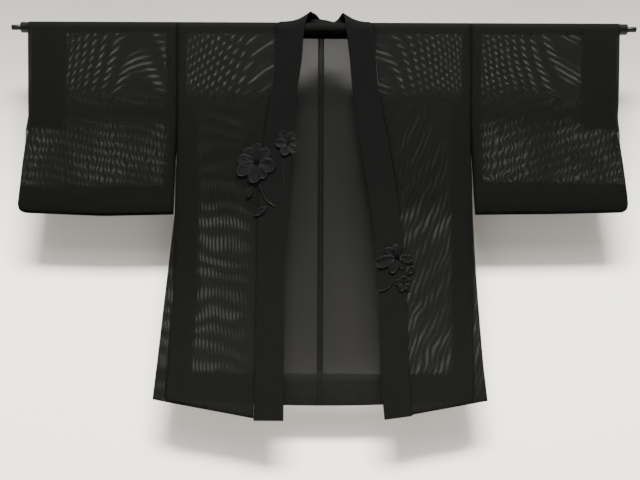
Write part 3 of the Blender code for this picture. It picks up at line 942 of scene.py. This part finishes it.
def layPetal(bm, petal):  # returns its edge, for the cord
    lengthCells, widthCells = trimSizes["petalCells"]
    made = bmesh.ops.create_grid(bm, x_segments=lengthCells, y_segments=widthCells, size=1.0)
    for vert in made["verts"]:
        vert.co = petalPoint(petal, (vert.co.x + 1) / 2, vert.co.y) * mm
    bmesh.ops.remove_doubles(bm, verts=made["verts"], dist=0.02 * mm)
    steps = [0.16 + 0.84 * math.sin(math.pi / 2 * step / 14) for step in range(15)]
    return ([petalPoint(petal, step, 1.0) for step in steps]
            + [petalPoint(petal, step, -1.0) for step in reversed(steps[:-1])])


def layCord(bm, path, radius, finish):
    curve = bpy.data.curves.new("cord", "CURVE")
    curve.dimensions = "3D"
    curve.bevel_depth = radius * mm
    curve.bevel_resolution = 1
    curve.use_fill_caps = True
    spline = curve.splines.new("POLY")
    spline.points.add(len(path) - 1)
    for spot, point in zip(spline.points, path):
        spot.co = (*(point * mm), 1.0)
    holder = bpy.data.objects.new("cord", curve)
    tube = bpy.data.meshes.new_from_object(holder)
    before = len(bm.faces)
    bm.from_mesh(tube)
    bm.faces.ensure_lookup_table()
    for face in bm.faces[before:]:
        face.material_index = finish
    bpy.data.objects.remove(holder)
    bpy.data.curves.remove(curve)
    bpy.data.meshes.remove(tube)


def layBoss(bm, x, z, reach, finish):  # a ring of small knots round a domed one
    before = len(bm.faces)
    middle = Vector((x, -trimSizes["back"] - trimSizes["bossOut"], z))
    knots = trimSizes["bossKnots"]
    dome, small, ring, depth = trimSizes["bossShares"]
    for knot in range(knots + 1):
        size = reach * (dome if knot == knots else small)
        angle = 2 * math.pi * knot / knots
        offset = Vector((math.cos(angle), 0.0, math.sin(angle))) * (0.0 if knot == knots else reach * ring)
        placing = Matrix.Translation((middle + offset) * mm) @ Matrix.Diagonal((1, depth, 1, 1))
        bmesh.ops.create_icosphere(bm, subdivisions=2, radius=size * mm, matrix=placing)
    bm.faces.ensure_lookup_table()
    for face in bm.faces[before:]:
        face.material_index = finish


def stiffen(bm):
    bmesh.ops.recalc_face_normals(bm, faces=bm.faces)
    bmesh.ops.solidify(bm, geom=bm.faces[:], thickness=trimSizes["petalThickness"] * mm)


def makeFlower(name, materials):
    x, z, petals = flowers[name]
    bm = bmesh.new()
    edges = []
    for direction, length, width, rise, cup in petals:
        edges.append(layPetal(bm, (x, z, direction, length, width, rise, cup, False)))
    stiffen(bm)
    for edge in edges:
        layCord(bm, edge, trimSizes["rim"], 1)
    longest = max(length for direction, length, *rest in petals)
    layBoss(bm, x, z, trimSizes["bossReach"] * longest / 45, 2)
    return pieceFrom(bm, pieceName(name), materials)


def makeLeaf(name, materials):
    x, z, length, width, direction = leaves[name]
    along = Vector((math.cos(math.radians(direction)), math.sin(math.radians(direction)))) * length / 2
    petal = (x - along.x, z - along.y, direction, length, width, 4, 2, True)
    bm = bmesh.new()
    edge = layPetal(bm, petal)
    stiffen(bm)
    layCord(bm, edge, trimSizes["rim"], 1)
    layCord(bm, [petalPoint(petal, step / 9, 0.0) for step in range(10)], trimSizes["rib"], 1)
    return pieceFrom(bm, pieceName(name), materials[:2])


def makeStem(name, materials):
    points = [Vector((x, 0, z)) for x, z in stems[name]]
    padded = [2 * points[0] - points[1]] + points + [2 * points[-1] - points[-2]]
    path = []
    for before, start, end, after in zip(padded, padded[1:], padded[2:], padded[3:]):
        path += [alongCurve(before, start, end, after, step / 14) for step in range(14)]
    path.append(points[-1])
    strand = trimSizes["strand"]
    bm = bmesh.new()
    for phase in (0.0, math.pi):
        strandPath = []
        length = 0.0
        for index, point in enumerate(path):
            ahead = path[min(index + 1, len(path) - 1)] - path[max(index - 1, 0)]
            length += ahead.length / 2
            across = Vector((-ahead.z, 0, ahead.x)).normalized()
            angle = phase + 2 * math.pi * length / trimSizes["strandTurn"]
            offset = (across * math.cos(angle) + Vector((0, -1, 0)) * math.sin(angle)) * strand * 0.8
            strandPath.append(point + offset + Vector((0, -trimSizes["back"] - 1.4, 0)))
        layCord(bm, strandPath, strand, 0)
    return pieceFrom(bm, pieceName(name), materials[1:2])


def pieceName(node):
    first, *rest = node.split("_")
    return first + "".join(word.capitalize() for word in rest)


# the rod that carries it

rod = {"radius": 12.3, "pinRadius": 6.2, "ends": (-692.0, 705.4), "pinEnds": (-714.0, 727.0), "sides": 72}


def rodPart(bm, start, end, radius, bevel):
    made = bmesh.ops.create_cone(bm, cap_ends=True, segments=rod["sides"], radius1=radius * mm,
                                 radius2=radius * mm, depth=(end - start) * mm)
    rims = set()
    for vert in made["verts"]:
        rims.update(edge for edge in vert.link_edges
                    if abs(edge.verts[0].co.z - edge.verts[1].co.z) < 1e-7)
    shaped = bmesh.ops.bevel(bm, geom=list(rims), offset=bevel * mm, segments=3, affect="EDGES",
                             profile=0.5, material=-1)
    verts = {vert for face in shaped["faces"] for vert in face.verts}
    verts.update(vert for vert in made["verts"] if vert.is_valid)
    for vert in verts:
        vert.co = Vector((vert.co.z + (start + end) / 2 * mm, vert.co.y, -vert.co.x))


def makeRod(name, start, end, radius, bevel, material):
    bm = bmesh.new()
    rodPart(bm, start, end, radius, bevel)
    bmesh.ops.recalc_face_normals(bm, faces=bm.faces)
    piece = pieceFrom(bm, name, [material])
    piece.data.set_sharp_from_angle(angle=math.radians(50))
    return piece


# stage: a wall close behind, seen only from its front, its colour painted darker towards the top as painted
# shade, and a pale floor

stage = {
    "wallGap": 0.118,  # behind the rod; the wall comes closer lower down
    "wallLean": 0.0453,
    "wallWidth": 4.8,
    "wallTop": 1.1,
    "floorDepth": 6.0,
    "floorZ": -1.9,
}


def wallMaterial():
    paint = Paint("wallPaintedDarkerAbove")
    place = paint.place()
    height = paint.axes(place).out("Z")
    # painted shade: the wall's colour darkens from pale low down to dark grey at the top, standing in for
    # less light up there
    share = paint.node("MapRange", None, {"Value": height, "From Min": -1.0, "From Max": 0.1})
    shade = paint.node("ValToRGB", {"stops": [
        (0.0, (0.84, 0.82, 0.79)), (0.36, (0.82, 0.80, 0.77)), (0.6, (0.56, 0.545, 0.52)),
        (0.85, (0.27, 0.264, 0.25)), (1.0, (0.19, 0.186, 0.175))]}, {"Fac": share})
    shader = paint.principled({"Base Color": shade, "Roughness": 0.9,
                                                 "Specular IOR Level": 0.1})
    clear = paint.node("BsdfTransparent")
    behind = paint.node("NewGeometry").out("Backfacing")
    return paint.finish(paint.node("MixShader", None, {0: behind, 1: shader, 2: clear}))


def floorMaterial():
    paint = Paint("paleFloor")
    place = paint.place()
    grain = paint.noise(place, 3.0, 3.0)
    shade = paint.blend(grain, (0.4, 0.39, 0.375, 1.0), (0.46, 0.45, 0.43, 1.0))
    return paint.finish(paint.principled({"Base Color": shade, "Roughness": 0.8}))


def plane(name, width, length, turn, middle, material):
    bm = bmesh.new()
    bmesh.ops.create_grid(bm, x_segments=1, y_segments=1, size=0.5)
    placing = Matrix.Translation(middle) @ Matrix.Rotation(turn, 4, "X")
    bmesh.ops.transform(bm, matrix=placing @ Matrix.Diagonal((width, length, 1, 1)), verts=bm.verts)
    made = pieceFrom(bm, name, [material])


def makeStage():
    floor, top, lean = stage["floorZ"], stage["wallTop"], stage["wallLean"]
    middle = (floor + top) / 2
    upright = math.acos(lean)
    plane("wall", stage["wallWidth"], top - floor, upright, (0, stage["wallGap"] + lean * middle, middle),
          wallMaterial())
    plane("floor", stage["wallWidth"], stage["floorDepth"], 0.0, (0, 0, floor), floorMaterial())


lamps = {
    "key": {"at": (0.05, -3.1, 4.0), "towards": (0.0, 0.0, -0.45), "size": (3.2, 0.7), "power": 1900.0},
    "ceiling": {"at": (0.0, -1.9, 2.3), "towards": (0.0, -1.2, 0.0), "size": (4.0, 2.8), "power": 150.0},
}
worldStrength = 0.12


def makeLamps():
    for name, look in lamps.items():
        light = bpy.data.lights.new(name, "AREA")
        light.shape = "RECTANGLE"
        light.size, light.size_y = look["size"]
        light.energy = look["power"]
        light.color = (1.0, 0.985, 0.955)
        lamp = bpy.data.objects.new(name, light)
        lamp.location = look["at"]
        aim = Vector(look["towards"]) - Vector(look["at"])
        lamp.rotation_euler = aim.to_track_quat("-Z", "Y").to_euler()
        lamp.visible_camera = False
        bpy.context.scene.collection.objects.link(lamp)
    world = bpy.data.worlds.new("studio")
    world.use_nodes = True
    background = world.node_tree.nodes["Background"]
    background.inputs["Color"].default_value = (1.0, 0.985, 0.96, 1.0)
    background.inputs["Strength"].default_value = worldStrength
    bpy.context.scene.world = world


camera = {"at": (-0.0009, -2.0, -0.4886), "lens": 48.71, "roll": -0.218}


def makeCamera():
    made = bpy.data.cameras.new("camera")
    made.sensor_width = 36.0
    made.lens = camera["lens"]
    eye = bpy.data.objects.new("camera", made)
    eye.location = camera["at"]
    eye.rotation_euler = (math.radians(90), math.radians(camera["roll"]), 0.0)
    bpy.context.scene.collection.objects.link(eye)
    bpy.context.scene.camera = eye


makeCamera()
makeStage()
makeLamps()
print("stage, lamps and camera ready")

# how the layers of each piece beat: places and pitches in millimetres, slopes in radians a metre
beats = {
    "sleeveRight": {
        "seed": 1.0, "drift": 15.0, "calm": -418.0, "spread": 1500.0, "lean": 60.0,
        "rowPitch": 15.5, "climb": -120.0, "arch": 1500.0, "rippleScale": 44.0, "ripple": 19.0,
        "hatchPitch": 9.5, "hatchLean": 50.0, "bandPitch": 21.0, "bandClimb": 60.0, "bandWander": 9.0,
        "change": -170.0, "quiet": (-330, -350), "barred": 0.82, "lines": 0.95, "dots": 0.95},
    "sleeveLeft": {
        "seed": 2.0, "drift": 15.0, "calm": 585.0, "spread": 1200.0, "lean": -70.0,
        "rowPitch": 13.5, "climb": 270.0, "arch": -100.0, "rippleScale": 40.0, "ripple": 23.0,
        "hatchPitch": 10.5, "hatchLean": -90.0, "bandPitch": 24.0, "bandClimb": -90.0, "bandWander": 11.0,
        "change": -170.0, "quiet": (320, 345), "barred": 0.78, "lines": 0.9, "dots": 0.92},
    "bodyRight": {
        "seed": 3.0, "drift": 13.0, "calm": -110.0, "spread": 1900.0, "lean": 120.0,
        "rowPitch": 19.0, "climb": -230.0, "arch": 0.0, "rippleScale": 14.0, "ripple": 11.0,
        "hatchPitch": 8.0, "hatchLean": 30.0, "bandPitch": 42.0, "bandClimb": 30.0, "bandWander": 15.0,
        "change": -190.0, "quiet": (-150, -195), "barred": 0.96, "lines": 1.8, "dots": 0.84},
    "bodyLeft": {
        "seed": 4.0, "drift": 13.0, "calm": 130.0, "spread": 1900.0, "lean": 80.0,
        "rowPitch": 15.0, "climb": 120.0, "arch": 600.0, "rippleScale": 16.0, "ripple": 15.0,
        "hatchPitch": 12.5, "hatchLean": -160.0, "bandPitch": 64.0, "bandClimb": -120.0, "bandWander": 10.0,
        "change": -190.0, "quiet": (150, 200), "barred": 0.85, "lines": 1.3, "dots": 0.84},
}

collarCloth = collarMaterial()
rodEnamel = rodMaterial()

rodParts = {
    "rodTube": (rod["ends"][0], rod["ends"][1], rod["radius"], 1.6, "rod_tube"),
    "rodPinRight": (rod["pinEnds"][0], rod["ends"][0] - 0.3, rod["pinRadius"], 1.0, "rod_pin_right"),
    "rodPinLeft": (rod["ends"][1] + 0.3, rod["pinEnds"][1], rod["pinRadius"], 1.0, "rod_pin_left"),
}
for name, (start, end, radius, bevel, node) in rodParts.items():
    piece = makeRod(name, start, end, radius, bevel, rodEnamel)
    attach(piece, "root")
    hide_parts(node)
print("rod made")

for side in halves:
    name = side.capitalize()
    bodyGauze = gauze("gauzeBody" + name, beats["body" + name])
    sleeveGauze = gauze("gauzeSleeve" + name, beats["sleeve" + name])
    made = {
        "body_" + side: bodyHalf(side, bodyGauze),
        "sleeve_" + side: sleeve(side, sleeveGauze),
        "gusset_" + side: gusset(side, bodyGauze),
    }
    for node, piece in made.items():
        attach(piece, "root")
        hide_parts(node)
    print(side, "half hung")

collarBand = makeCollar(collarCloth)
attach(collarBand, "root")
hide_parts("collar")
print("collar made")

satinCord = cordMaterial("satinCord", "cordShades", trimLook["cordShine"])
trimMaterials = [petalMaterial(), satinCord, cordMaterial("bossThread", "bossShades", 0.0)]
for table, maker in ((flowers, makeFlower), (leaves, makeLeaf), (stems, makeStem)):
    for node in table:
        piece = maker(node, trimMaterials)
        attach(piece, "root")
        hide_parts(node)
print("flowers, leaves and stems sewn on")

for side in halves:
    piece = sewHalf(side, trimMaterials[1])
    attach(piece, "root")
print("stitches made")
